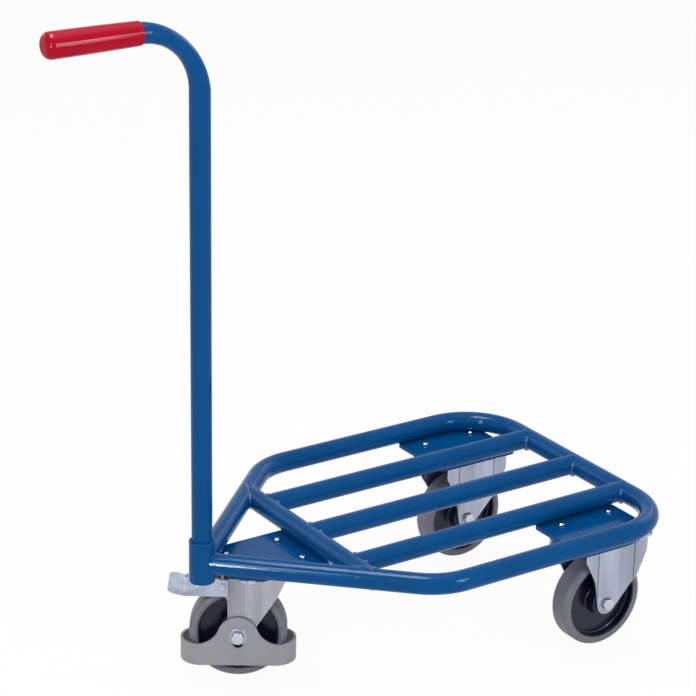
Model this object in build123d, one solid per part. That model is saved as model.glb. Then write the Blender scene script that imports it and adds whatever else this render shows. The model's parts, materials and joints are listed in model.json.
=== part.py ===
from build123d import *
import math
import os

# Platform cart with an upright handle, in millimetres.
# +X points to the rear, away from the handle, +Z is up and the wheels stand on z = 0.
# The origin is at the middle of the outer box, on the floor.

# Clearances
WELD_GAP = 0.1        # between a tube or plate and what it is welded to
SEAT_GAP = 0.02       # between two pieces that are pressed or moulded together
RUN_FIT = 0.06        # radial play of a shaft in its bore
SIDE_PLAY = 0.4       # between faces that turn past each other
SLIDE_GAP = 0.3       # radial play of the handle post in its socket
CUT_MARGIN = 1.0      # how far a cutting shape runs past what it cuts
SCREW_TO_RAIL = 8.2   # rear screws to the side rails
SCREW_TO_SLAT = 3.6   # rear screws to the outer slats
SCREW_TO_CROSS = 8.3  # front screws to the cross tube
NOSE_SCREW_GAP = 0.2  # front screws' centre line to the side of the nose tubes

# Deck tubes
TUBE_D = 27.0
TUBE_WALL = 2.0
BEND_R = 82.0         # centre line radius of the deck's tube bends
RAIL_SPACING = 421.0  # centre to centre of the side rails
REAR_REACH = 586.5    # handle post to the rear bar, centre to centre
NOSE_REACH = 219.5    # handle post to the corner where nose and rail centre lines meet

# Caster plates of the frame
FRAME_PLATE_T = 5.0
FRONT_PLATE_GAP = 8.5      # front plate to the socket
FRONT_PLATE_SIDE = 20.0    # front plate beyond its screws, sideways
FRONT_PLATE_TAIL = 7.0     # front plate behind the centre line of the cross tube
REAR_PLATE_AHEAD = 30.0    # rear plate in front of its screws
REAR_PLATE_BEHIND = 20.0   # rear plate behind its screws
PLATE_CORNER_R = 8.0

# Handle and socket
POST_D = 26.0
POST_WALL = 2.0
HANDLE_H = 859.5      # floor to the centre line of the grip
HANDLE_REACH = 200.0  # handle post to the free end of the grip
BEND_FLAT = 2.2       # how much flatter each side of the handle tube is half way round its bend
BEND_SINK = 1.6       # how far the flattened tube sinks towards the inside of the bend
BEND_STEPS = 8        # stretches between the sections that shape the bend
GRIP_L = 121.0
GRIP_TO_BEND = 2.0    # mouth of the grip behind the end of the bend
GRIP_MOUTH_WALL = 1.5
GRIP_MID_WALL = 2.6
GRIP_END_WALL = 3.0
GRIP_CAP_T = 4.0
GRIP_END_R = 9.0
GRIP_MOUTH_R = 0.6
SOCKET_WALL = 3.2
SOCKET_BELOW = 24.5   # socket below the tubes' centre line
SOCKET_ABOVE = 31.5   # socket above the tubes' centre line
SOCKET_EDGE_R = 1.5
KEY_T = 6.0
KEY_H = 10.0
KEY_RAISE = 2.0       # key above the lower end of the socket

# Casters
WHEEL_D = 125.0
TREAD_W = 32.0
TREAD_R = 7.0
TYRE_DEPTH = 10.5
TYRE_STEP_L = 2.3          # height of the recessed ring beside the core
TYRE_STEP_D = 1.0          # depth of that ring
SWIVEL_PLATE_L = 110.0
FIXED_PLATE_L = 118.0
TOP_PLATE_W = 85.0
TOP_PLATE_T = 3.5
SCREW_PITCH_L = 78.0
SCREW_CLEAR = 0.2          # screw heads to the legs of a fixed bracket
LEG_T = 3.0
LEG_END_R = 13.0
REAR_WHEEL_BACK = 79.0     # rear axles to the centre line of the rear bar

# Wheel core
CORE_W = 29.0
RIM_DEPTH = 2.0
WEB_T = 9.0
HUB_WALL = 6.0           # hub around its bearings
HUB_STANDOUT = 4.0       # hub end beyond the side of the tyre
CORE_FILLET_R = 2.5
HUB_EDGE_R = 1.0
HUB_BORE_PLAY = 3.0      # radial room between the sleeve and the hub bore
BEARING_D = 28.0
BEARING_W = 8.0
BEARING_FACE_SET = 1.2   # bearing face below the hub end
SLEEVE_D = 12.0

# Fasteners
BOLT_D = 8.0
BOLT_HOLE_PLAY = 0.1      # radial play of a bolt in its hole
HEX_AF = 13.0             # across flats of heads and nuts
HEAD_H = 5.3
NUT_H = 7.5
HEX_EDGE = 0.8
TIP_CHAMFER = 1.0
SCREW_TIP = 3.2           # screw end above the frame plate
BOLT_TIP = 3.0            # axle bolt end beyond its nut
WASHER_D = 23.0
WASHER_T = 1.6

# Fixed rear bracket: reaches are measured from the axle, drops from the top plate.
# The right leg leans to the rear and the left leg to the front.
BRACKET_FRONT = 35.0
BRACKET_BACK = 63.0
SHOULDER_DROP = 29.0      # lower end of the upright edges
SHOULDER_FRONT_R = 9.0
SHOULDER_BACK_R = 20.0
LEFT_SHOULDER_DROP = 9.5  # the same on the long edge of the left leg
WAIST_REACH = 21.0        # hollow in the short edge of both legs
WAIST_RISE = 35.5
WAIST_R = 40.0
HIP_REACH = 48.0          # bulge in the long edge of the right leg
HIP_RISE = 29.5
HIP_R = 30.0
BRACKET_TOP_R = 4.0       # upper corner of the long edge
BRACKET_END_R = 15.0
RIB_FRONT = 16.5
RIB_BACK = 15.0
RIB_DEPTH = 1.2
RIB_CORNER_R = 5.0
RIB_TO_HEAD = 1.5         # lower end of the rib to the head of the axle bolt
STEP_REACH = 43.0         # second pressed step, from here to the long edge
STEP_TO_HEAD = 1.0        # upper end of the step below the screw heads

# Swivel head
CASTER_TURN = 147.0       # swivel angle: the wheel trails towards this heading
TRAIL = 32.0
CROWN_GAP = 13.0          # tyre to the underside of the fork crown
KING_PIN_D = 12.0
KING_HEAD_D = 22.0
KING_HEAD_H = 5.0
KING_HEAD_R = 1.6
THRUST_T = 1.5
RACE_D = 40.0             # pitch circle of the balls
RACE_W = 10.0
LOWER_RACE_T = 3.4
UPPER_RACE_T = 3.4
BALL_D = 6.5
BALL_PLAY = 0.1
BALL_SPACE = 1.0          # least room between two balls
CUP_WALL = 1.5
CUP_GAP = 1.6             # cup skirt to the races
CUP_CLEAR = 2.5           # cup skirt above the fork

# Swivel fork legs: reaches run along the trailing direction from the king pin
FORK_FRONT = 28.9
FORK_KNEE = 18.5          # where the front edge turns towards the axle
FORK_KNEE_DROP = 24.0
FORK_KNEE_R = 40.0
FORK_REAR = 13.0          # rear edge of the leg behind the axle
EAR_BEHIND = 10.0         # ear behind the brake pivot
EAR_H = 22.0
EAR_FILLET_R = 11.0
EAR_CORNER_R = 4.0
FORK_RIB_START = 4.8
FORK_RIB_W = 18.0
RIB_TO_GUARD = 0.5        # lower end of the fork rib to the arch of the guard

# Brake: drops are measured from the fork crown
PIVOT_REACH = 51.3
PIVOT_DROP = 8.5
PIVOT_D = 4.5
PIVOT_HEAD_D = 6.5
PIVOT_HEAD_T = 1.2
LEVER_T = 2.5
LEVER_DROP = 22.5         # lower edge of the arms
LEVER_AHEAD = 6.8         # arms in front of the pivot
LEVER_FLAT = 8.3          # level upper edge behind the pivot
LEVER_CORNER_R = 3.0
FOLD_REACH = 51.3         # pivot to the fold where the pedal starts
FOLD_DROP = 18.2
FLOOR_L = 15.0            # floor between the arms, in front of the fold
PEDAL_L = 18.5
PEDAL_TILT = 14.0
PEDAL_SIDE = 2.0          # pedal beyond the arms
PEDAL_CORNER_R = 10.0
SHOE_ANGLE = 36.0         # shoe behind the top of the wheel, about the axle
SHOE_GAP = 6.0
SHOE_T = 5.0
SHOE_L = 14.0
SHOE_W = 26.0

# Foot guard
GUARD_GAP = 8.0           # tyre to the ends of the guard
GUARD_T = 3.5
GUARD_LOW = 21.0
GUARD_H = 29.0
GUARD_END_FLAT = 0.4      # half of the flat stretch at each end
GUARD_ARCH_R = 26.0
GUARD_FLARE_R = 32.0
GUARD_SLOT_W = 13.0
GUARD_SLOT_DROP = 10.5

# Derived sizes
tube_r = TUBE_D / 2
wheel_r = WHEEL_D / 2
core_r = wheel_r - TYRE_DEPTH
socket_bore_r = POST_D / 2 + SLIDE_GAP
socket_r = socket_bore_r + SOCKET_WALL
handle_bend_r = HANDLE_REACH - GRIP_L - GRIP_TO_BEND
hub_l = TREAD_W + 2 * HUB_STANDOUT
leg_in = hub_l / 2 + SIDE_PLAY
leg_out = leg_in + LEG_T
guard_in = leg_out
guard_out = guard_in + GUARD_T
guard_l = WHEEL_D + 2 * (GUARD_GAP + GUARD_T)
guard_top = GUARD_LOW + GUARD_H
lever_in = leg_out + SIDE_PLAY
lever_out = lever_in + LEVER_T
bolt_hole_r = BOLT_D / 2 + BOLT_HOLE_PLAY
hex_r = HEX_AF / math.sqrt(3)

# Heights
fork_top = WHEEL_D + CROWN_GAP + LEG_T
ball_low = fork_top + LOWER_RACE_T
ball_high = ball_low + BALL_D + 2 * BALL_PLAY
top_plate_low = ball_high + UPPER_RACE_T
plate_low = top_plate_low + TOP_PLATE_T
plate_top = plate_low + FRAME_PLATE_T
tube_z = plate_top + WELD_GAP + tube_r
socket_low = tube_z - SOCKET_BELOW
socket_top = tube_z + SOCKET_ABOVE
key_top = socket_low + KEY_RAISE + KEY_H
pivot_z = fork_top - PIVOT_DROP
lever_low = fork_top - LEVER_DROP
fold_x = PIVOT_REACH + FOLD_REACH
fold_z = fork_top - FOLD_DROP

# Places in plan
post_x = (HANDLE_REACH - REAR_REACH - tube_r) / 2
rear_x = post_x + REAR_REACH
nose_x = post_x + NOSE_REACH
rear_wheel_x = rear_x - REAR_WHEEL_BACK
rail_y = RAIL_SPACING / 2
screw_y = leg_out + HEX_AF / 2 + SCREW_CLEAR
rear_wheel_y = rail_y - tube_r - SCREW_TO_RAIL - BOLT_D / 2 - screw_y
slat_y = rear_wheel_y - screw_y - BOLT_D / 2 - SCREW_TO_SLAT - tube_r
nose_slope = rail_y / NOSE_REACH
nose_half_width = (tube_r + NOSE_SCREW_GAP) * math.hypot(1, nose_slope)
king_x = post_x + (screw_y + nose_half_width) / nose_slope + SCREW_PITCH_L / 2
cross_x = king_x + SCREW_PITCH_L / 2 + BOLT_D / 2 + SCREW_TO_CROSS + tube_r
swivel = Location((king_x, 0, 0), (0, 0, CASTER_TURN))
swivel_square = Pos(king_x, 0, 0)


def cylinder_between(start, end, radius):
    """Solid round bar from one point to another."""
    line = Line(start, end)
    section = Plane(origin=line @ 0, z_dir=line % 0) * Circle(radius)
    return sweep(section, line)


def tube_along(path, diameter, wall):
    """Hollow tube along a path."""
    section = Circle(diameter / 2) - Circle(diameter / 2 - wall)
    return sweep(Plane(origin=path @ 0, z_dir=path % 0) * section, path)


def upright(radius, low, high, x=0, y=0):
    """Solid upright cylinder between two heights."""
    return Pos(x, y, low) * Cylinder(radius, high - low, align=(Align.CENTER, Align.CENTER, Align.MIN))


def across(radius, low, high, x=0, z=0):
    """Solid cylinder along Y between two places."""
    return Plane(origin=(x, low, z), z_dir=(0, 1, 0)) * Cylinder(
        radius, high - low, align=(Align.CENTER, Align.CENTER, Align.MIN)
    )


def side_sheet(profile, low, high):
    """Profile drawn in x and z, thickened from one y to another."""
    return extrude(Plane(origin=(0, low, 0), x_dir=(1, 0, 0), z_dir=(0, -1, 0)) * profile, -(high - low))


def ring(outer_r, inner_r, low, high):
    """Upright ring between two heights."""
    return upright(outer_r, low, high) - upright(inner_r, low, high)


def on_nose(distance):
    """Point of the right nose centre line at a distance behind the post."""
    return (post_x + distance, -distance * nose_slope)


def tangent_point(point, centre, radius, side):
    """Where a straight edge from a point touches a round end."""
    dx = centre[0] - point[0]
    dy = centre[1] - point[1]
    reach = math.hypot(dx, dy)
    angle = math.atan2(dy, dx) + side * math.asin(radius / reach)
    run = math.sqrt(reach**2 - radius**2)
    return (point[0] + run * math.cos(angle), point[1] + run * math.sin(angle))


def at(shape, x, y):
    """Vertex of a sketch nearest to one place."""
    return shape.vertices().sort_by(lambda v: math.hypot(v.X - x, v.Y - y))[0]


def deck_area():
    """Area inside the centre line of the perimeter tube."""
    outline = Polygon(
        (post_x, 0), (nose_x, -rail_y), (rear_x, -rail_y), (rear_x, rail_y), (nose_x, rail_y), align=None
    )
    corners = [at(outline, x, y) for x in (nose_x, rear_x) for y in (-rail_y, rail_y)]
    return fillet(corners, BEND_R)


def perimeter_tube():
    path = FilletPolyline(
        (post_x, 0, tube_z),
        (nose_x, -rail_y, tube_z),
        (rear_x, -rail_y, tube_z),
        (rear_x, 0, tube_z),
        radius=BEND_R,
    )
    half = tube_along(path, TUBE_D, TUBE_WALL)
    half -= upright(socket_r + WELD_GAP, socket_low, socket_top, post_x)
    middle = Pos(post_x, -WELD_GAP / 2, tube_z) * Box(
        NOSE_REACH, TUBE_D, TUBE_D + CUT_MARGIN, align=(Align.MIN, Align.MIN, Align.CENTER)
    )
    half -= middle
    return half + mirror(half, about=Plane.XZ)


def nose_cutters():
    """Solid bars a weld gap larger than the two nose tubes."""
    end = on_nose(NOSE_REACH)
    for sign in (1, -1):
        yield cylinder_between((post_x, 0, tube_z), (end[0], sign * end[1], tube_z), tube_r + WELD_GAP)


def cross_tube():
    reach = (cross_x - post_x) * nose_slope
    tube = tube_along(Line((cross_x, -reach, tube_z), (cross_x, reach, tube_z)), TUBE_D, TUBE_WALL)
    for cutter in nose_cutters():
        tube -= cutter
    return tube


def slat(y):
    tube = tube_along(Line((cross_x, y, tube_z), (rear_x, y, tube_z)), TUBE_D, TUBE_WALL)
    for x in (cross_x, rear_x):
        tube -= across(tube_r + WELD_GAP, y - TUBE_D, y + TUBE_D, x, tube_z)
    return tube


def screw_places(x, y):
    """Centres of the four caster screws around a caster's middle."""
    return [
        (x + i * SCREW_PITCH_L / 2, y + j * screw_y) for i in (-1, 1) for j in (-1, 1)
    ]


def frame_plate(outline, x, y):
    """Flat plate under the tubes, with the holes of one caster."""
    plate = extrude(Pos(0, 0, plate_low) * outline, FRAME_PLATE_T)
    for place in screw_places(x, y):
        plate -= upright(bolt_hole_r, plate_low, plate_top, *place)
    return plate


def front_plate():
    start = post_x + socket_r + FRONT_PLATE_GAP
    end = cross_x + FRONT_PLATE_TAIL
    width = 2 * (screw_y + BOLT_D / 2 + FRONT_PLATE_SIDE)
    outline = Pos(start, 0) * Rectangle(end - start, width, align=(Align.MIN, Align.CENTER))
    return frame_plate(outline & deck_area(), king_x, 0)


def rear_plate(side):
    start = rear_wheel_x - SCREW_PITCH_L / 2 - REAR_PLATE_AHEAD
    length = REAR_PLATE_AHEAD + SCREW_PITCH_L + REAR_PLATE_BEHIND
    y = side * (rail_y + slat_y) / 2
    outline = Pos(start, y) * RectangleRounded(
        length, rail_y - slat_y, PLATE_CORNER_R, align=(Align.MIN, Align.CENTER)
    )
    return frame_plate(outline & deck_area(), rear_wheel_x, side * rear_wheel_y)


def handle_socket():
    socket = upright(socket_r, socket_low, socket_top, post_x)
    socket = fillet(socket.edges().filter_by(GeomType.CIRCLE), SOCKET_EDGE_R)
    return socket - upright(socket_bore_r, socket_low, socket_top, post_x)


def socket_key():
    bar = Pos(post_x, 0, key_top) * Box(
        KEY_T, 2 * socket_r, KEY_H, align=(Align.CENTER, Align.CENTER, Align.MAX)
    )
    return bar & upright(socket_bore_r - SEAT_GAP, socket_low, socket_top, post_x)


def bend_section(turn, radius):
    """Oval section of the handle bend, flattest half way round."""
    out = Vector(math.cos(turn), 0, math.sin(turn))
    share = math.sin(2 * turn)
    centre = Vector(post_x - handle_bend_r, 0, HANDLE_H - handle_bend_r)
    centre += out * (handle_bend_r - BEND_SINK * share)
    flat = BEND_FLAT * share
    plane = Plane(origin=centre, x_dir=(0, 1, 0), z_dir=(-math.sin(turn), 0, math.cos(turn)))
    return plane * Ellipse(radius, radius - flat)


def handle_bar(radius, low, end):
    """Solid bar of the handle: upright post, flattened bend and level end."""
    bend_low = HANDLE_H - handle_bend_r
    bend_end = post_x - handle_bend_r
    turns = [math.pi / 2 * step / BEND_STEPS for step in range(BEND_STEPS + 1)]
    bar = upright(radius, low, bend_low, post_x)
    bar += loft([bend_section(turn, radius) for turn in turns])
    return bar + cylinder_between((bend_end, 0, HANDLE_H), (end, 0, HANDLE_H), radius)


def handle_tube():
    low = socket_low + KEY_RAISE
    end = post_x - HANDLE_REACH + GRIP_CAP_T + SEAT_GAP
    tube = handle_bar(POST_D / 2, low, end) - handle_bar(POST_D / 2 - POST_WALL, low, end)
    slot = Pos(post_x, 0, key_top) * Box(
        KEY_T + 2 * SLIDE_GAP, POST_D + CUT_MARGIN, 2 * KEY_H, align=(Align.CENTER, Align.CENTER, Align.MAX)
    )
    return tube - slot


def handle_grip():
    bore = POST_D / 2 + SEAT_GAP
    mouth_r = POST_D / 2 + GRIP_MOUTH_WALL
    middle_r = POST_D / 2 + GRIP_MID_WALL
    end_r = POST_D / 2 + GRIP_END_WALL
    inside = GRIP_L - GRIP_CAP_T
    outline = [
        Line((0, bore), (0, mouth_r)),
        ThreePointArc((0, mouth_r), (GRIP_L / 2, middle_r), (GRIP_L, end_r)),
        Line((GRIP_L, end_r), (GRIP_L, 0)),
        Line((GRIP_L, 0), (inside, 0)),
        Line((inside, 0), (inside, bore)),
        Line((inside, bore), (0, bore)),
    ]
    profile = make_face(outline)
    profile = fillet(at(profile, 0, mouth_r), GRIP_MOUTH_R)
    profile = fillet(at(profile, GRIP_L, end_r), GRIP_END_R)
    mouth = Plane(origin=(post_x - HANDLE_REACH + GRIP_L, 0, HANDLE_H), x_dir=(-1, 0, 0), z_dir=(0, 1, 0))
    return revolve(mouth * profile, Axis((post_x, 0, HANDLE_H), (1, 0, 0)))


def hex_prism(height):
    """Upright hexagon from z = 0 with its corners broken."""
    block = extrude(RegularPolygon(hex_r, 6), height)
    cone = upright(hex_r, 0, height)
    cone = chamfer(cone.edges().filter_by(GeomType.CIRCLE), HEX_EDGE)
    return block & cone


def hex_bolt(length):
    """Bolt with its head below z = 0 and its shank above."""
    shank = upright(BOLT_D / 2, 0, length)
    shank = chamfer(shank.edges().sort_by(Axis.Z)[-1], TIP_CHAMFER)
    return shank + Pos(0, 0, -HEAD_H) * hex_prism(HEAD_H)


def hex_nut():
    return hex_prism(NUT_H) - upright(BOLT_D / 2 + SEAT_GAP, 0, NUT_H)


def caster_screws(x, y):
    length = plate_top + SCREW_TIP - top_plate_low
    return Compound([Pos(i, j, top_plate_low) * hex_bolt(length) for i, j in screw_places(x, y)])


def top_plate(length):
    """Caster top plate around the origin, with its four screw holes."""
    outline = RectangleRounded(length, TOP_PLATE_W, PLATE_CORNER_R)
    plate = extrude(Pos(0, 0, top_plate_low) * outline, TOP_PLATE_T)
    for place in screw_places(0, 0):
        plate -= upright(bolt_hole_r, top_plate_low, plate_low, *place)
    return plate


def rib_outline(start, width, low, high):
    """Upright strip with a rounded lower end."""
    strip = Pos(start, low) * Rectangle(width, high - low, align=(Align.MIN, Align.MIN))
    return fillet([at(strip, start, low), at(strip, start + width, low)], RIB_CORNER_R)


def ribbed_leg(outline, rib, side):
    """One leg sheet on one side of the wheel, with a rib pressed outwards."""
    leg = side_sheet(outline, *sorted((side * leg_in, side * leg_out)))
    leg += side_sheet(rib, *sorted((side * leg_out, side * (leg_out + RIB_DEPTH))))
    return leg - side_sheet(rib, *sorted((side * leg_in, side * (leg_in + RIB_DEPTH))))


def bracket_leg(long_edge):
    """Outline of a leg that leans towards +X; long_edge lists its corners from the axle upwards."""
    axle = (0, wheel_r)
    front = (-BRACKET_FRONT, top_plate_low - SHOULDER_DROP)
    waist = (-WAIST_REACH, wheel_r + WAIST_RISE)
    outline = Polygon(
        (-BRACKET_FRONT, top_plate_low),
        front,
        waist,
        tangent_point(waist, axle, BRACKET_END_R, -1),
        axle,
        tangent_point(long_edge[0], axle, BRACKET_END_R, 1),
        *long_edge,
        (BRACKET_BACK, top_plate_low),
        align=None,
    )
    outline = fillet(at(outline, *front), SHOULDER_FRONT_R)
    outline = fillet(at(outline, *waist), WAIST_R)
    outline = fillet(at(outline, BRACKET_BACK, top_plate_low), BRACKET_TOP_R)
    return outline + Pos(*axle) * Circle(BRACKET_END_R)


def bracket_ribs(outline):
    """Rib down the middle of a leg and step along its long edge."""
    low = wheel_r + hex_r + RIB_TO_HEAD
    rib = rib_outline(-RIB_FRONT, RIB_FRONT + RIB_BACK, low, top_plate_low)
    step_top = top_plate_low - HEAD_H - STEP_TO_HEAD
    step = Pos(STEP_REACH, low) * Rectangle(
        BRACKET_BACK - STEP_REACH, step_top - low, align=(Align.MIN, Align.MIN)
    )
    return outline & (rib + step)


def fixed_bracket():
    hip = (HIP_REACH, wheel_r + HIP_RISE)
    shoulder = (BRACKET_BACK, top_plate_low - SHOULDER_DROP)
    right = bracket_leg([hip, shoulder])
    right = fillet(at(right, *hip), HIP_R)
    right = fillet(at(right, *shoulder), SHOULDER_BACK_R)
    left = bracket_leg([(BRACKET_BACK, top_plate_low - LEFT_SHOULDER_DROP)])
    bracket = top_plate(FIXED_PLATE_L) + ribbed_leg(right, bracket_ribs(right), -1)
    bracket += Rot(0, 0, 180) * ribbed_leg(left, bracket_ribs(left), -1)
    return bracket - across(bolt_hole_r, -leg_out, leg_out, 0, wheel_r)


def wheel_core():
    half_hub = hub_l / 2
    half_rim = CORE_W / 2
    half_web = WEB_T / 2
    hub_r = BEARING_D / 2 + HUB_WALL
    rim_in = core_r - RIM_DEPTH
    seat = BEARING_D / 2
    shoulder = half_hub - BEARING_FACE_SET - BEARING_W
    bore = SLEEVE_D / 2 + HUB_BORE_PLAY
    profile = Polygon(
        (bore, -shoulder),
        (seat, -shoulder),
        (seat, -half_hub),
        (hub_r, -half_hub),
        (hub_r, -half_web),
        (rim_in, -half_web),
        (rim_in, -half_rim),
        (core_r, -half_rim),
        (core_r, half_rim),
        (rim_in, half_rim),
        (rim_in, half_web),
        (hub_r, half_web),
        (hub_r, half_hub),
        (seat, half_hub),
        (seat, shoulder),
        (bore, shoulder),
        align=None,
    )
    corners = [at(profile, r, y) for r in (hub_r, rim_in) for y in (-half_web, half_web)]
    profile = fillet(corners, CORE_FILLET_R)
    profile = fillet([at(profile, hub_r, y) for y in (-half_hub, half_hub)], HUB_EDGE_R)
    return Pos(0, 0, wheel_r) * revolve(profile, Axis.Y)


def tyre():
    bore = core_r + SEAT_GAP
    step = core_r + TYRE_STEP_L
    half = TREAD_W / 2
    ring_half = half - TYRE_STEP_D
    profile = Pos((step + wheel_r) / 2, 0) * Rectangle(wheel_r - step, TREAD_W)
    profile = fillet([at(profile, wheel_r, y) for y in (-half, half)], TREAD_R)
    profile += Pos((bore + step) / 2, 0) * Rectangle(step - bore, 2 * ring_half)
    return Pos(0, 0, wheel_r) * revolve(profile, Axis.Y)


def wheel_bearings():
    rings = []
    outer_face = hub_l / 2 - BEARING_FACE_SET
    for side in (-1, 1):
        faces = sorted((side * outer_face, side * (outer_face - BEARING_W)))
        solid = across(BEARING_D / 2 - SEAT_GAP, *faces, 0, wheel_r)
        rings.append(solid - across(SLEEVE_D / 2 + RUN_FIT, *faces, 0, wheel_r))
    return Compound(rings)


def axle_sleeve():
    sleeve = across(SLEEVE_D / 2, -leg_in, leg_in, 0, wheel_r)
    return sleeve - across(bolt_hole_r, -leg_in, leg_in, 0, wheel_r)


def lying(shape, y):
    """Turn an upright fastener to lie along Y on the axle line, head first."""
    return Plane(origin=(0, y, wheel_r), x_dir=(1, 0, 0), z_dir=(0, 1, 0)) * shape


def axle_bolt(grip):
    """Bolt through a stack of the given half width, with its head at -Y."""
    return lying(hex_bolt(2 * grip + NUT_H + BOLT_TIP), -grip)


def axle_nut(grip):
    return lying(hex_nut(), grip)


def axle_washers():
    rings = []
    for faces in ((guard_out, guard_out + WASHER_T), (-guard_out - WASHER_T, -guard_out)):
        rings.append(across(WASHER_D / 2, *faces, 0, wheel_r) - across(bolt_hole_r, *faces, 0, wheel_r))
    return Compound(rings)


def on_trail(shape):
    """Move a wheel piece from the origin to the swivel caster's axle."""
    return swivel * Pos(TRAIL, 0, 0) * shape


def head_near(shape):
    """Turn an axle fastener so that its head lies on the other side."""
    return Pos(0, 0, wheel_r) * Rot(0, 0, 180) * Pos(0, 0, -wheel_r) * shape


def swivel_fork():
    axle = (TRAIL, wheel_r)
    knee = (-FORK_KNEE, fork_top - FORK_KNEE_DROP)
    rear = TRAIL + FORK_REAR
    ear_low = fork_top - EAR_H
    ear_end = PIVOT_REACH + EAR_BEHIND
    outline = Polygon(
        (-FORK_FRONT, fork_top),
        knee,
        tangent_point(knee, axle, LEG_END_R, -1),
        axle,
        (rear, wheel_r),
        (rear, ear_low),
        (ear_end, ear_low),
        (ear_end, fork_top),
        align=None,
    )
    outline = fillet(at(outline, *knee), FORK_KNEE_R)
    outline = fillet(at(outline, rear, ear_low), EAR_FILLET_R)
    outline = fillet([at(outline, ear_end, z) for z in (ear_low, fork_top)], EAR_CORNER_R)
    outline += Pos(*axle) * Circle(LEG_END_R)
    rib_low = wheel_r + GUARD_ARCH_R + RIB_TO_GUARD
    crown_low = fork_top - LEG_T
    rib = rib_outline(FORK_RIB_START, FORK_RIB_W, rib_low, crown_low)
    fork = Pos(-FORK_FRONT, 0, fork_top) * Box(
        FORK_FRONT + TRAIL, 2 * leg_out, LEG_T, align=(Align.MIN, Align.CENTER, Align.MAX)
    )
    for side in (-1, 1):
        fork += ribbed_leg(outline, rib, side)
    fork -= upright(KING_PIN_D / 2 + RUN_FIT, crown_low, fork_top)
    fork -= across(bolt_hole_r, -leg_out, leg_out, *axle)
    fork -= across(PIVOT_D / 2 + SEAT_GAP, -leg_out, leg_out, PIVOT_REACH, pivot_z)
    return swivel * fork


def swivel_top_plate():
    plate = top_plate(SWIVEL_PLATE_L) - upright(KING_PIN_D / 2 + SEAT_GAP, top_plate_low, plate_low)
    return swivel_square * plate


def king_pin():
    head_top = fork_top - LEG_T - THRUST_T - BALL_PLAY
    pin = upright(KING_PIN_D / 2, head_top - KING_HEAD_H, plate_low)
    head = upright(KING_HEAD_D / 2, head_top - KING_HEAD_H, head_top)
    head = fillet(head.edges().sort_by(Axis.Z)[0], KING_HEAD_R)
    return swivel_square * (pin + head)


def thrust_washer():
    top = fork_top - LEG_T
    return swivel * ring(KING_HEAD_D / 2, KING_PIN_D / 2 + RUN_FIT, top - THRUST_T, top)


def lower_race():
    race = ring(RACE_D / 2 + RACE_W / 2, RACE_D / 2 - RACE_W / 2, fork_top, ball_low)
    return swivel * race


def upper_cup():
    race_out = RACE_D / 2 + RACE_W / 2
    skirt_in = race_out + CUP_GAP
    skirt_out = skirt_in + CUP_WALL
    cup = ring(skirt_out, skirt_in, fork_top + CUP_CLEAR, top_plate_low)
    cup += ring(skirt_out, RACE_D / 2 - RACE_W / 2, ball_high, top_plate_low)
    return swivel_square * cup


def swivel_balls():
    count = int(math.pi * RACE_D / (BALL_D + BALL_SPACE))
    ball = swivel * Pos(0, 0, (ball_low + ball_high) / 2)
    return Compound([ball * spot * Sphere(BALL_D / 2) for spot in PolarLocations(RACE_D / 2, count)])


def foot_guard():
    end_r = guard_out - GUARD_END_FLAT
    loop = RectangleRounded(guard_l, 2 * guard_out, end_r)
    loop -= RectangleRounded(guard_l - 2 * GUARD_T, 2 * guard_in, end_r - GUARD_T)
    side = Pos(TRAIL, GUARD_LOW) * Rectangle(guard_l, GUARD_H, align=(Align.CENTER, Align.MIN))
    side += Pos(TRAIL, wheel_r) * Circle(GUARD_ARCH_R)
    foot = math.sqrt(GUARD_ARCH_R**2 - (wheel_r - guard_top) ** 2)
    side = fillet([at(side, TRAIL + sign * foot, guard_top) for sign in (-1, 1)], GUARD_FLARE_R)
    slot = Rot(0, 0, 90) * SlotCenterToCenter(GUARD_SLOT_DROP, GUARD_SLOT_W)
    side -= Pos(TRAIL, wheel_r - GUARD_SLOT_DROP / 2) * slot
    guard = extrude(Pos(TRAIL, 0, GUARD_LOW) * loop, wheel_r + GUARD_ARCH_R - GUARD_LOW)
    return swivel * (guard & side_sheet(side, -guard_out, guard_out))


def about_axle(shape):
    """Place a piece drawn above the origin at the shoe's angle about the axle."""
    return Pos(TRAIL, 0, wheel_r) * Rot(0, SHOE_ANGLE, 0) * shape


def brake_lever():
    front = PIVOT_REACH - LEVER_AHEAD
    arm = Polygon(
        (front, lever_low),
        (fold_x - LEVER_T, lever_low),
        (fold_x, fold_z),
        (PIVOT_REACH + LEVER_FLAT, fork_top),
        (front, fork_top),
        align=None,
    )
    arm = fillet([at(arm, front, z) for z in (lever_low, fork_top)], LEVER_CORNER_R)
    inside = 2 * lever_in + LEVER_T
    floor = Pos(fold_x - LEVER_T, 0, lever_low) * Box(
        FLOOR_L, inside, LEVER_T, align=(Align.MAX, Align.CENTER, Align.MIN)
    )
    pad = Rectangle(PEDAL_L + LEVER_T, 2 * (lever_out + PEDAL_SIDE), align=(Align.MIN, Align.CENTER))
    pad = fillet(pad.vertices().sort_by(Axis.X)[-2:], PEDAL_CORNER_R)
    pedal = extrude(Pos(-LEVER_T, 0, -LEVER_T) * pad, LEVER_T)
    pedal = Pos(fold_x, 0, fold_z) * Rot(0, -PEDAL_TILT, 0) * pedal
    web_r = wheel_r + SHOE_GAP + SHOE_T
    web = Pos(0, 0, web_r) * Box(SHOE_L, inside, LEVER_T, align=(Align.CENTER, Align.CENTER, Align.MIN))
    lever = side_sheet(arm, lever_in, lever_out) + side_sheet(arm, -lever_out, -lever_in)
    lever += floor
    lever += pedal
    lever += about_axle(web)
    lever -= across(PIVOT_D / 2 + RUN_FIT, -lever_out, lever_out, PIVOT_REACH, pivot_z)
    return swivel * lever


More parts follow.
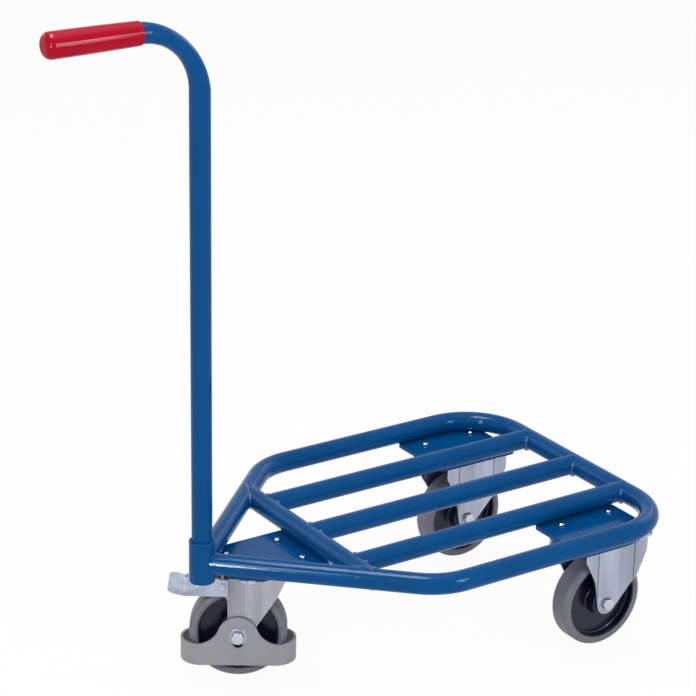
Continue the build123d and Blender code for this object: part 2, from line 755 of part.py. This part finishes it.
def brake_shoe():
    face_r = wheel_r + SHOE_GAP
    block = Pos(0, 0, face_r + SHOE_T) * Box(
        SHOE_L, SHOE_W, 2 * SHOE_T, align=(Align.CENTER, Align.CENTER, Align.MAX)
    )
    block -= across(face_r, -SHOE_W, SHOE_W)
    return swivel * about_axle(block)


def pivot_pin():
    outer = lever_out + SIDE_PLAY
    pin = across(PIVOT_D / 2, -outer, outer, PIVOT_REACH, pivot_z)
    for side in (-1, 1):
        faces = sorted((side * outer, side * (outer + PIVOT_HEAD_T)))
        pin += across(PIVOT_HEAD_D / 2, *faces, PIVOT_REACH, pivot_z)
    return swivel * pin


front_grip = guard_out + WASHER_T
parts = {
    "perimeter_tube": perimeter_tube(),
    "cross_tube": cross_tube(),
    "slat_right": slat(-slat_y),
    "slat_middle": slat(0),
    "slat_left": slat(slat_y),
    "front_caster_plate": front_plate(),
    "handle_socket": handle_socket(),
    "socket_key": socket_key(),
    "handle_tube": handle_tube(),
    "handle_grip": handle_grip(),
    "front_caster_screws": caster_screws(king_x, 0),
    "swivel_top_plate": swivel_top_plate(),
    "swivel_king_pin": king_pin(),
    "swivel_upper_cup": upper_cup(),
    "swivel_balls": swivel_balls(),
    "swivel_lower_race": lower_race(),
    "swivel_thrust_washer": thrust_washer(),
    "swivel_fork": swivel_fork(),
    "front_tyre": on_trail(tyre()),
    "front_wheel_core": on_trail(wheel_core()),
    "front_wheel_bearings": on_trail(wheel_bearings()),
    "front_axle_sleeve": on_trail(axle_sleeve()),
    "front_axle_bolt": on_trail(head_near(axle_bolt(front_grip))),
    "front_axle_nut": on_trail(head_near(axle_nut(front_grip))),
    "front_axle_washers": on_trail(axle_washers()),
    "foot_guard": foot_guard(),
    "brake_lever": brake_lever(),
    "brake_shoe": brake_shoe(),
    "brake_pivot_pin": pivot_pin(),
}
for name, side in (("right", -1), ("left", 1)):
    wheel_y = side * rear_wheel_y
    place = Pos(rear_wheel_x, wheel_y, 0)
    parts[f"rear_plate_{name}"] = rear_plate(side)
    parts[f"rear_screws_{name}"] = caster_screws(rear_wheel_x, wheel_y)
    parts[f"rear_bracket_{name}"] = place * fixed_bracket()
    parts[f"rear_tyre_{name}"] = place * tyre()
    parts[f"rear_wheel_core_{name}"] = place * wheel_core()
    parts[f"rear_wheel_bearings_{name}"] = place * wheel_bearings()
    parts[f"rear_axle_sleeve_{name}"] = place * axle_sleeve()
    parts[f"rear_axle_bolt_{name}"] = place * axle_bolt(leg_out)
    parts[f"rear_axle_nut_{name}"] = place * axle_nut(leg_out)

os.makedirs("parts", exist_ok=True)
for name, part in parts.items():
    export_step(part, f"parts/{name}.step")
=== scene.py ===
import json
import math

import bmesh
import bpy
from mathutils import Matrix, Vector


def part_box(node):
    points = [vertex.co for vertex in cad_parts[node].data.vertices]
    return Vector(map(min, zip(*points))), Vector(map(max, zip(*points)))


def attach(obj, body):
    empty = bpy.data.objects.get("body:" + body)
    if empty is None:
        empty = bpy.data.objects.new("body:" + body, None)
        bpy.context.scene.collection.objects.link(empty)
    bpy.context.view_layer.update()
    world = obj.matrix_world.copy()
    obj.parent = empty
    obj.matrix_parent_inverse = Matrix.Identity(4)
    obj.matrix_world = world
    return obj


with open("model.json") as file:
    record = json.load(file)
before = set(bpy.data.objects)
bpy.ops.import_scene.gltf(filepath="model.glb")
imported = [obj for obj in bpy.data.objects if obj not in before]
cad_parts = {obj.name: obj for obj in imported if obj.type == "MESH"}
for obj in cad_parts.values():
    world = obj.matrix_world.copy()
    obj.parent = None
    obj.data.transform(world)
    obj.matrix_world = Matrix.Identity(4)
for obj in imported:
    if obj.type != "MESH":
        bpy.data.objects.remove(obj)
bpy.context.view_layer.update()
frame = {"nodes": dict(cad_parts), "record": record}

# Looks of the platform cart, in metres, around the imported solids.

nodes = frame["nodes"]
node_slots = {row["node"]: row["material_slot"] for row in frame["record"]["subparts"]}

LENGTHWISE = Vector((1, 0, 0))
SIDEWAYS = Vector((0, 1, 0))
UPWARDS = Vector((0, 0, 1))
FULL_TURN = 2 * math.pi

# Camera: where the photograph was taken from
FOCAL_PX = 2528.8
IMAGE_PX = 696
SENSOR_MM = 36.0
CAMERA_PLACE = (-1.6294, -2.4526, 1.5627)
CAMERA_AZIMUTH = math.radians(-33.80)
CAMERA_PITCH = math.radians(21.16)
CAMERA_ROLL = math.radians(1.01)
CLIP_NEAR = 0.05
CLIP_FAR = 60.0

# Stage
FLOOR_HALF = 14.0
FLOOR_WHITE = (0.92, 0.92, 0.92, 1)
FLOOR_GLOW = 0.945          # share of plain white in what the camera sees of the floor
WORLD_WHITE = (1, 1, 1, 1)
WORLD_LIGHT = 0.44          # strength of the even light from all round
WORLD_SEEN = 1.0            # strength of the white behind the object

# Lamps: name, place, size along x and y, watts
LAMPS = (
    ("overhead", (0.1, 0.2, 2.6), (1.8, 1.8), 15.0),
    ("rear_fill", (2.8, 0.7, 1.8), (1.8, 1.2), 11.0),
    ("far_fill", (-1.3, 2.7, 1.8), (1.8, 1.2), 11.0),
    ("left_front", (-1.70, -1.04, 1.55), (0.38, 0.38), 13.5),
    ("right_front", (1.0, -2.57, 1.6), (0.9, 0.5), 17.0),
)
LAMP_TINT = (1.0, 1.0, 1.0)
LAMP_AIM = (0.0, 0.0, 0.3)

# Lamps that show as gloss alone and add no light: name, place, size along x and y, watts
GLINTS = (
    ("nose_glint", (-1.935, -1.207, 0.84), (0.10, 0.60), 34.0),
    ("grip_glint", (0.65, -1.96, 1.10), (0.30, 1.00), 15.0),
    ("top_glint", (-0.28, 0.10, 2.36), (1.00, 0.80), 66.0),
)
GLINT_TINT = (0.84, 0.96, 1.0)

# Colours, as linear light
BLUE = (0.0004, 0.080, 0.264)
ZINC = (0.378, 0.411, 0.512)
FORK_ZINC = (0.344, 0.344, 0.382)
BRIGHT_ZINC = (0.56, 0.57, 0.61)
RED = (0.455, 0.0005, 0.020)
TYRE_GREY = (0.184, 0.181, 0.222)
CORE_BLACK = (0.0055, 0.0065, 0.027)
GUARD_GREY = (0.341, 0.333, 0.369)
STEEL = (0.56, 0.56, 0.58)
RUBBER = (0.028, 0.028, 0.030)

# Patterns
PATTERN_LOW = 0.3           # the part of a pattern's range that is used
PATTERN_HIGH = 0.7
UPRIGHT_BANDS = (1, 1, 0.12)

# Painted shade and painted highlights on plated metal along its edges: reach, colour times this share, and
# whether the edge sticks out
CORNER_LIGHT = 0.3          # open share of the view in a sharp corner
# Painted shade in hollow corners
PAINTED_HOLLOW_SHADE = {"reach": 0.007, "share": 0.68, "inside": False}
# Painted shade in the gaps between parts
PAINTED_GAP_SHADE = {"reach": 0.004, "share": 0.15, "inside": False}
# Painted highlight on rims that stick out
PAINTED_RIM_HIGHLIGHT = {"reach": 0.0012, "share": 1.6, "inside": True}

# Nodes with a brighter plating than the sheet steel have one of these words in their names
FASTENERS = ("screws", "bolt", "nut")

# Edges
SAME_CORNER = 1e-6          # corners this close are one
EDGE_BREAK = 0.0005         # rounding of pressed and moulded edges
EDGE_SEGMENTS = 2
SMOOTH_ANGLE = math.radians(32)
NORMAL_WEIGHT = 100         # large faces lead the shading at a shared corner

# Welds
WELD_R = 0.0018
NOSE_WELD_R = 0.0012        # finer bead round the nose tubes
SLAT_WELD_R = 0.0029        # short heavy beads on the two flanks of a slat
SLAT_WELD_LOW = 1.25        # how far such a bead runs below the slat's middle, in radians
SLAT_WELD_HIGH = 0.65       # and above it
WELD_STEP = 0.0011          # distance between two rings of a weld bead
WELD_LEAST_STEPS = 4
WELD_RIPPLE = 0.0032        # distance between two ripples
WELD_SWELL = 0.24           # how much a ripple swells, as a share of the bead
WELD_WANDER = ((0.05, 0.37, 0), (0.03, 0.91, 1))   # share of the bead, radians a ring, start
WELD_END = 0.35             # size of a bead's open ends, as a share of the bead
WELD_SIDES = 12
SADDLE_STEPS = 72
NOSE_REACH = 0.2195         # handle post to the corner where nose and rail centre lines meet

# Screw threads
SCREW_R = 0.004
SCREW_END = 1e-5            # corners this close to the top are on the ends of the screws
THREAD_START = 0.0013       # top of the thread below the end of its screw
THREAD_PITCH = 0.00125
THREAD_DEPTH = 0.00035
THREAD_HALF = 0.4 * THREAD_PITCH
THREAD_STEPS = 28           # points in one turn
THREAD_FADE = 0.25          # turns over which the ridge rises and dies out
THREAD_LEAST = 0.05         # share of the ridge that is left at its ends


# Materials

class Finish:
    """One procedural material: a shader and the patterns that feed it."""

    def __init__(self, name, metallic=0.0, specular=0.5):
        self.material = bpy.data.materials.new(name)
        self.material.use_nodes = True
        self.tree = self.material.node_tree
        self.shader = self.tree.nodes["Principled BSDF"]
        self.shader.inputs["Metallic"].default_value = metallic
        self.shader.inputs["Specular IOR Level"].default_value = specular
        self.place = self.tree.nodes.new("ShaderNodeTexCoord").outputs["Object"]
        self.normal = None

    def link(self, source, target):
        self.tree.links.new(source, target)

    def stretched(self, stretch):
        """Coordinates squeezed along some axes, so that a pattern runs along them."""
        mapping = self.tree.nodes.new("ShaderNodeMapping")
        mapping.inputs["Scale"].default_value = stretch
        self.link(self.place, mapping.inputs["Vector"])
        return mapping.outputs["Vector"]

    def noise(self, scale, detail=2.0, place=None):
        """Cloudy pattern, with scale in waves per metre."""
        node = self.tree.nodes.new("ShaderNodeTexNoise")
        node.inputs["Scale"].default_value = scale
        node.inputs["Detail"].default_value = detail
        self.link(place or self.place, node.inputs["Vector"])
        return node.outputs["Fac"]

    def crystals(self, scale):
        """Grains like those of a plated coat."""
        node = self.tree.nodes.new("ShaderNodeTexVoronoi")
        node.inputs["Scale"].default_value = scale
        self.link(self.place, node.inputs["Vector"])
        grey = self.tree.nodes.new("ShaderNodeRGBToBW")
        self.link(node.outputs["Color"], grey.inputs["Color"])
        return grey.outputs["Val"]

    def corners(self, colour, reach, share, inside):
        """Colour times a share in corners, for painted shade in hollow ones, or with inside for a painted
        highlight on those that stick out.
        """
        near = self.tree.nodes.new("ShaderNodeAmbientOcclusion")
        near.inputs["Distance"].default_value = reach
        near.inside = inside
        near.only_local = inside
        amount = self.tree.nodes.new("ShaderNodeMapRange")
        amount.inputs["From Min"].default_value = CORNER_LIGHT
        amount.inputs["To Min"].default_value = share
        amount.inputs["To Max"].default_value = 1.0
        self.link(near.outputs["AO"], amount.inputs["Value"])
        scaled = self.tree.nodes.new("ShaderNodeVectorMath")
        scaled.operation = "SCALE"
        self.link(colour, scaled.inputs[0])
        self.link(amount.outputs["Result"], scaled.inputs["Scale"])
        return scaled.outputs["Vector"]

    def colour(self, colour, pattern, spread, edges=()):
        """Base colour that varies by a share of itself with a pattern, and changes along edges with painted
        shade and painted highlights.
        """
        ramp = self.tree.nodes.new("ShaderNodeValToRGB")
        dark, light = ramp.color_ramp.elements
        dark.position = PATTERN_LOW
        light.position = PATTERN_HIGH
        dark.color = [c * (1 - spread) for c in colour] + [1]
        light.color = [c * (1 + spread) for c in colour] + [1]
        self.link(pattern, ramp.inputs["Fac"])
        mixed = ramp.outputs["Color"]
        # Painted shade in hollows and painted highlights on edges that stick out
        for edge in edges:
            mixed = self.corners(mixed, **edge)
        self.link(mixed, self.shader.inputs["Base Color"])

    def roughness(self, pattern, low, high):
        """Roughness between two values, following a pattern."""
        spread = self.tree.nodes.new("ShaderNodeMapRange")
        spread.inputs["From Min"].default_value = PATTERN_LOW
        spread.inputs["From Max"].default_value = PATTERN_HIGH
        spread.inputs["To Min"].default_value = low
        spread.inputs["To Max"].default_value = high
        self.link(pattern, spread.inputs["Value"])
        self.link(spread.outputs["Result"], self.shader.inputs["Roughness"])

    def relief(self, pattern, strength, depth):
        """One more layer of bumps, with their depth in metres."""
        bump = self.tree.nodes.new("ShaderNodeBump")
        bump.inputs["Strength"].default_value = strength
        bump.inputs["Distance"].default_value = depth
        self.link(pattern, bump.inputs["Height"])
        if self.normal:
            self.link(self.normal, bump.inputs["Normal"])
        self.normal = bump.outputs["Normal"]
        self.link(self.normal, self.shader.inputs["Normal"])


def powder_coat():
    """Glossy coat with a faint orange peel."""
    finish = Finish("blue_powder_coat", specular=0.085)
    finish.colour(BLUE, finish.noise(scale=16, detail=3), spread=0.06)
    finish.roughness(finish.noise(scale=70), low=0.09, high=0.13)
    finish.relief(finish.noise(scale=240, detail=1), strength=0.05, depth=0.0006)
    finish.relief(finish.noise(scale=900, detail=2), strength=0.04, depth=0.0003)
    return finish.material


def bead_coat():
    """The same paint where it runs thick and shiny over a weld bead."""
    finish = Finish("blue_bead_coat", specular=0.5)
    finish.colour(BLUE, finish.noise(scale=300, detail=3), spread=0.12)
    finish.roughness(finish.noise(scale=500), low=0.06, high=0.12)
    finish.relief(finish.noise(scale=420, detail=2), strength=0.35, depth=0.0012)
    return finish.material


def zinc_plate(name, colour):
    """Plated sheet steel: satin, with soft upright bands of lighter and darker tone, painted highlights on
    rims that stick out and painted shade in hollows.
    """
    finish = Finish(name, metallic=1.0)
    upright = finish.stretched(UPRIGHT_BANDS)
    bands = finish.noise(scale=42, detail=1, place=upright)
    # Painted shade in hollows and a painted highlight on rims that stick out
    finish.colour(colour, bands, spread=0.20, edges=(PAINTED_HOLLOW_SHADE, PAINTED_RIM_HIGHLIGHT))
    finish.roughness(finish.noise(scale=110, detail=2, place=upright), low=0.24, high=0.36)
    finish.relief(finish.noise(scale=35, detail=2), strength=0.18, depth=0.0015)
    return finish.material


def zinc_fastener():
    """Bright plated screws, bolts and nuts."""
    finish = Finish("zinc_fastener", metallic=1.0)
    clouds = finish.noise(scale=200, detail=4)
    # Painted shade in the gaps between parts and a painted highlight on rims that stick out
    finish.colour(BRIGHT_ZINC, clouds, spread=0.10, edges=(PAINTED_GAP_SHADE, PAINTED_RIM_HIGHLIGHT))
    finish.roughness(finish.crystals(scale=900), low=0.12, high=0.22)
    finish.relief(finish.noise(scale=1500, detail=3), strength=0.06, depth=0.0001)
    return finish.material


def dipped_grip():
    """Soft dipped plastic: glossy, with a slightly wavy skin."""
    finish = Finish("red_grip", specular=0.10)
    finish.colour(RED, finish.noise(scale=30, detail=2), spread=0.07)
    finish.roughness(finish.noise(scale=120), low=0.11, high=0.15)
    finish.relief(finish.noise(scale=55, detail=1), strength=0.03, depth=0.0020)
    finish.relief(finish.noise(scale=1100, detail=2), strength=0.03, depth=0.0002)
    return finish.material


def moulded(name, colour, spread, rough, grain, specular=0.4):
    """Moulded plastic or rubber with an even grain."""
    finish = Finish(name, specular=specular)
    finish.colour(colour, finish.noise(scale=45, detail=4), spread)
    finish.roughness(finish.noise(scale=200), *rough)
    finish.relief(finish.noise(scale=grain, detail=3), strength=0.12, depth=0.0003)
    return finish.material


def ground_steel():
    """Bright turned or ground steel."""
    finish = Finish("bearing_steel", metallic=1.0)
    finish.colour(STEEL, finish.noise(scale=150, detail=3), spread=0.08)
    finish.roughness(finish.noise(scale=900, detail=2), low=0.20, high=0.32)
    finish.relief(finish.noise(scale=1800, detail=2), strength=0.05, depth=0.0001)
    return finish.material


finishes = {
    "blue_powder_coat": powder_coat(),
    "zinc_plate": zinc_plate("zinc_plate", ZINC),
    "red_grip": dipped_grip(),
    "grey_tyre": moulded("grey_tyre", TYRE_GREY, spread=0.07, rough=(0.46, 0.60), grain=1500),
    "black_core": moulded(
        "black_core", CORE_BLACK, spread=0.12, rough=(0.18, 0.28), grain=1700, specular=0.35
    ),
    "grey_guard": moulded("grey_guard", GUARD_GREY, spread=0.05, rough=(0.44, 0.56), grain=1600),
    "bearing_steel": ground_steel(),
    "shoe_rubber": moulded("shoe_rubber", RUBBER, spread=0.10, rough=(0.68, 0.82), grain=1200),
}
bright_zinc = zinc_fastener()
fork_zinc = zinc_plate("fork_zinc", FORK_ZINC)
bead_paint = bead_coat()


# CAD nodes: material, smooth shading and broken edges

def finish_of(node, slot):
    """Finish of a slot, with others for the fasteners and the fork among the plated nodes."""
    if node == "swivel_fork":
        return fork_zinc
    if slot == "zinc_plate" and any(word in node for word in FASTENERS):
        return bright_zinc
    return finishes[slot]


def dress(node, finish):
    """Give a CAD node its finish and soft edges."""
    piece = nodes[node]
    piece.data.materials.clear()
    piece.data.materials.append(finish)
    weld = piece.modifiers.new("joined_faces", "WELD")
    weld.merge_threshold = SAME_CORNER
    bevel = piece.modifiers.new("broken_edges", "BEVEL")
    bevel.width = EDGE_BREAK
    bevel.segments = EDGE_SEGMENTS
    bevel.limit_method = "ANGLE"
    bevel.angle_limit = SMOOTH_ANGLE
    normals = piece.modifiers.new("even_normals", "WEIGHTED_NORMAL")
    normals.mode = "FACE_AREA"
    normals.weight = NORMAL_WEIGHT


for node_name, slot_name in node_slots.items():
    dress(node_name, finish_of(node_name, slot_name))


# Pieces that the solids leave out

def new_piece(name, mesh, body, finish):
    """Finished mesh that rides on a body."""
    data = bpy.data.meshes.new(name)
    mesh.to_mesh(data)
    mesh.free()
    data.materials.append(finish)
    data.shade_smooth()
    piece = bpy.data.objects.new(name, data)
    bpy.context.scene.collection.objects.link(piece)
    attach(piece, body)


def join_rings(mesh, rings):
    """Faces from each ring of corners to the next."""
    for first, second in zip(rings, rings[1:]):
        for k in range(len(first)):
            n = (k + 1) % len(first)
            mesh.faces.new((first[k], first[n], second[n], second[k]))


# Weld beads

def sweep(mesh, points, radii, closed):
    """Round bar through points, with a radius at each of them."""
    count = len(points)
    rings = []
    side = None
    for i, point in enumerate(points):
        before = points[i - 1] if closed or i else point
        after = points[(i + 1) % count] if closed or i + 1 < count else point
        along = (after - before).normalized()
        if side is None:
            side = along.orthogonal().normalized()
        side = (side - along * side.dot(along)).normalized()
        other = along.cross(side)
        ring = []
        for k in range(WELD_SIDES):
            turn = FULL_TURN * k / WELD_SIDES
            out = math.cos(turn) * side + math.sin(turn) * other
            ring.append(mesh.verts.new(point + radii[i] * out))
        rings.append(ring)
    if closed:
        join_rings(mesh, rings + rings[:1])
    else:
        join_rings(mesh, rings)
        mesh.faces.new(reversed(rings[0]))
        mesh.faces.new(rings[-1])


def even_points(points, closed):
    """Points spread evenly along a line, a weld step apart."""
    line = points + points[:1] if closed else points
    lengths = [(b - a).length for a, b in zip(line, line[1:])]
    total = sum(lengths)
    count = max(WELD_LEAST_STEPS, round(total / WELD_STEP))
    spread = []
    i = 0
    start = 0.0
    for k in range(count if closed else count + 1):
        place = total * k / count
        while i < len(lengths) - 1 and start + lengths[i] < place:
            start += lengths[i]
            i += 1
        share = (place - start) / lengths[i] if lengths[i] else 0.0
        spread.append(line[i].lerp(line[i + 1], min(share, 1.0)))
    return spread


def add_bead(mesh, points, closed=False, bead_r=WELD_R):
    """Rippled weld bead along a line."""
    spread = even_points(points, closed)
    radii = []
    for i in range(len(spread)):
        ripple = abs(math.sin(math.pi * i * WELD_STEP / WELD_RIPPLE))
        wander = sum(share * math.sin(pace * i + start) for share, pace, start in WELD_WANDER)
        radii.append(bead_r * (1 + WELD_SWELL * ripple + wander))
    if not closed:
        for end in (0, -1):
            radii[end] *= WELD_END
    sweep(mesh, spread, radii, closed)


def saddle(start, along, tube_r, bar, bar_along, bar_r, first=0.0, last=FULL_TURN):
    """Line where a round tube meets the side of a round bar, from one angle to another."""
    side = along.cross(UPWARDS).normalized()
    step = along - along.dot(bar_along) * bar_along
    line = []
    for k in range(SADDLE_STEPS + 1):
        turn = first + (last - first) * k / SADDLE_STEPS
        skin = start + tube_r * (math.cos(turn) * side + math.sin(turn) * UPWARDS)
        away = skin - bar
        away -= away.dot(bar_along) * bar_along
        half = away.dot(step)
        root = max(half**2 - step.length_squared * (away.length_squared - bar_r**2), 0.0)
        line.append(skin + along * ((-half - math.sqrt(root)) / step.length_squared))
    return line


low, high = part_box("slat_middle")
tube_r = (high.z - low.z) / 2
tube_z = (high.z + low.z) / 2
low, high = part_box("cross_tube")
cross_x = (low.x + high.x) / 2
low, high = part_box("perimeter_tube")
rear_x = high.x - tube_r
rail_y = high.y - tube_r
low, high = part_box("handle_socket")
post = Vector(((low.x + high.x) / 2, 0, tube_z))
socket_r = (high.y - low.y) / 2
slat_places = [(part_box(n)[0].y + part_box(n)[1].y) / 2 for n in ("slat_right", "slat_middle", "slat_left")]


def slat_welds():
    """Beads on both flanks of each slat, at the cross tube and at the rear bar."""
    flanks = (
        (-SLAT_WELD_LOW, SLAT_WELD_HIGH),
        (math.pi - SLAT_WELD_HIGH, math.pi + SLAT_WELD_LOW),
    )
    mesh = bmesh.new()
    for y in slat_places:
        middle = Vector(((cross_x + rear_x) / 2, y, tube_z))
        for bar_x, along in ((cross_x, -LENGTHWISE), (rear_x, LENGTHWISE)):
            bar = Vector((bar_x, 0, tube_z))
            for first, last in flanks:
                line = saddle(middle, along, tube_r, bar, SIDEWAYS, tube_r, first, last)
                add_bead(mesh, line, bead_r=SLAT_WELD_R)
    new_piece("slat_welds", mesh, "frame", bead_paint)


def nose_direction(side):
    """Direction of a nose tube, from the handle post to the rear."""
    return Vector((NOSE_REACH, side * rail_y, 0)).normalized()


def cross_tube_welds():
    """Beads all round both ends of the cross tube."""
    mesh = bmesh.new()
    for side in (-1, 1):
        start = Vector((cross_x, 0, tube_z))
        line = saddle(start, side * SIDEWAYS, tube_r, post, nose_direction(side), tube_r)
        add_bead(mesh, line[:-1], closed=True)
    new_piece("cross_tube_welds", mesh, "frame", bead_paint)


def nose_welds():
    """Beads round the nose tubes on the socket, up to where the two tubes meet."""
    mesh = bmesh.new()
    for side in (-1, 1):
        along = -nose_direction(side)
        start = post - along * NOSE_REACH / 2
        ring = saddle(start, along, tube_r, post, UPWARDS, socket_r)[:-1]
        inner = [i for i, p in enumerate(ring) if side * p.y <= 0]
        cut = inner[-1] + 1 if inner else 0
        outer = [p for p in ring[cut:] + ring[:cut] if side * p.y > 0]
        add_bead(mesh, outer, bead_r=NOSE_WELD_R)
    new_piece("nose_welds", mesh, "frame", finishes["blue_powder_coat"])


slat_welds()
cross_tube_welds()
nose_welds()


# Screw threads

def screw_tips(node):
    """Middle of the upper end of each of a node's four screws."""
    low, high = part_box(node)
    middle = (low + high) / 2
    ends = [v.co for v in nodes[node].data.vertices if v.co.z > high.z - SCREW_END]
    for side_x in (-1, 1):
        for side_y in (-1, 1):
            mine = [p for p in ends if side_x * (p.x - middle.x) > 0 and side_y * (p.y - middle.y) > 0]
            yield sum(mine, Vector()) / len(mine)


def add_thread(mesh, end, along, radius, length):
    """Helical ridge on a screw end, from its tip back along its length."""
    side = along.orthogonal().normalized()
    other = along.cross(side)
    steps = round(THREAD_STEPS * length / THREAD_PITCH)
    fade_steps = THREAD_STEPS * THREAD_FADE
    root = radius - THREAD_DEPTH
    rows = []
    for i in range(steps + 1):
        turn = FULL_TURN * i / THREAD_STEPS
        out = math.cos(turn) * side + math.sin(turn) * other
        back = end - along * (i * THREAD_PITCH / THREAD_STEPS)
        fade = min(1.0, i / fade_steps, (steps - i) / fade_steps)
        crest = radius + THREAD_DEPTH * max(fade, THREAD_LEAST)
        rows.append([
            mesh.verts.new(back + out * root + along * THREAD_HALF),
            mesh.verts.new(back + out * crest),
            mesh.verts.new(back + out * root - along * THREAD_HALF),
        ])
    join_rings(mesh, rows)
    mesh.faces.new(rows[0])
    mesh.faces.new(reversed(rows[-1]))


def screw_threads(name, node):
    """Threads on the screw ends that stand above a caster plate."""
    plate_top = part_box("front_caster_plate")[1].z
    mesh = bmesh.new()
    for tip in screw_tips(node):
        end = tip - UPWARDS * THREAD_START
        add_thread(mesh, end, UPWARDS, SCREW_R, end.z - plate_top)
    new_piece(name, mesh, "frame", bright_zinc)


for group in ("front_caster_screws", "rear_screws_right", "rear_screws_left"):
    screw_threads(group.replace("screws", "screw_threads"), group)


# Floor, world, lamps and camera

def seen_directly(tree):
    """1 for rays from the camera, a mirror or glass, and 0 for light that falls on the object."""
    path = tree.nodes.new("ShaderNodeLightPath")
    total = path.outputs["Is Camera Ray"]
    for other in ("Is Glossy Ray", "Is Transmission Ray"):
        either = tree.nodes.new("ShaderNodeMath")
        either.operation = "MAXIMUM"
        tree.links.new(total, either.inputs[0])
        tree.links.new(path.outputs[other], either.inputs[1])
        total = either.outputs["Value"]
    return total


def floor_material():
    """Plain white that keeps a faint share of the object's shadow."""
    material = bpy.data.materials.new("pale_floor")
    material.use_nodes = True
    tree = material.node_tree
    tree.nodes.clear()
    matt = tree.nodes.new("ShaderNodeBsdfDiffuse")
    matt.inputs["Color"].default_value = FLOOR_WHITE
    glow = tree.nodes.new("ShaderNodeEmission")
    share = tree.nodes.new("ShaderNodeMath")
    share.operation = "MULTIPLY"
    share.inputs[1].default_value = FLOOR_GLOW
    tree.links.new(seen_directly(tree), share.inputs[0])
    mix = tree.nodes.new("ShaderNodeMixShader")
    tree.links.new(share.outputs["Value"], mix.inputs["Fac"])
    tree.links.new(matt.outputs["BSDF"], mix.inputs[1])
    tree.links.new(glow.outputs["Emission"], mix.inputs[2])
    out = tree.nodes.new("ShaderNodeOutputMaterial")
    tree.links.new(mix.outputs["Shader"], out.inputs["Surface"])
    return material


def make_floor():
    """Square floor under the wheels."""
    mesh = bmesh.new()
    corners = [(-1, -1), (1, -1), (1, 1), (-1, 1)]
    mesh.faces.new([mesh.verts.new((x * FLOOR_HALF, y * FLOOR_HALF, 0)) for x, y in corners])
    data = bpy.data.meshes.new("floor")
    mesh.to_mesh(data)
    mesh.free()
    data.materials.append(floor_material())
    floor = bpy.data.objects.new("floor", data)
    bpy.context.scene.collection.objects.link(floor)


def make_world():
    """Even white light, with a brighter white behind the object."""
    world = bpy.data.worlds.new("white_room")
    world.use_nodes = True
    tree = world.node_tree
    background = tree.nodes["Background"]
    background.inputs["Color"].default_value = WORLD_WHITE
    strength = tree.nodes.new("ShaderNodeMapRange")
    strength.inputs["To Min"].default_value = WORLD_LIGHT
    strength.inputs["To Max"].default_value = WORLD_SEEN
    tree.links.new(seen_directly(tree), strength.inputs["Value"])
    tree.links.new(strength.outputs["Result"], background.inputs["Strength"])
    bpy.context.scene.world = world


def make_lamps(lamps, tint, lights_up):
    """Area lamps that the camera doesn't see, with or without light on matt surfaces."""
    for name, place, size, watts in lamps:
        data = bpy.data.lights.new(name, "AREA")
        data.shape = "RECTANGLE"
        data.size, data.size_y = size
        data.energy = watts
        data.color = tint
        lamp = bpy.data.objects.new(name, data)
        lamp.location = place
        lamp.visible_camera = False
        lamp.visible_diffuse = lights_up
        lamp.rotation_euler = (Vector(LAMP_AIM) - Vector(place)).to_track_quat("-Z", "Y").to_euler()
        bpy.context.scene.collection.objects.link(lamp)


def make_camera():
    """Camera at its fitted place, turned by its azimuth, pitch and roll."""
    data = bpy.data.cameras.new("camera")
    data.sensor_width = SENSOR_MM
    data.lens = FOCAL_PX / IMAGE_PX * SENSOR_MM
    data.clip_start = CLIP_NEAR
    data.clip_end = CLIP_FAR
    camera = bpy.data.objects.new("camera", data)
    level = math.cos(CAMERA_PITCH)
    back = Vector((
        math.sin(CAMERA_AZIMUTH) * level,
        -math.cos(CAMERA_AZIMUTH) * level,
        math.sin(CAMERA_PITCH),
    ))
    right = UPWARDS.cross(back).normalized()
    up = back.cross(right)
    rolled_right = right * math.cos(CAMERA_ROLL) + up * math.sin(CAMERA_ROLL)
    rolled_up = up * math.cos(CAMERA_ROLL) - right * math.sin(CAMERA_ROLL)
    turn = Matrix((rolled_right, rolled_up, back)).transposed()
    camera.matrix_world = Matrix.Translation(CAMERA_PLACE) @ turn.to_4x4()
    bpy.context.scene.collection.objects.link(camera)
    bpy.context.scene.camera = camera


make_floor()
make_world()
make_lamps(LAMPS, LAMP_TINT, True)
make_lamps(GLINTS, GLINT_TINT, False)
make_camera()
bpy.context.scene.view_settings.view_transform = "Standard"
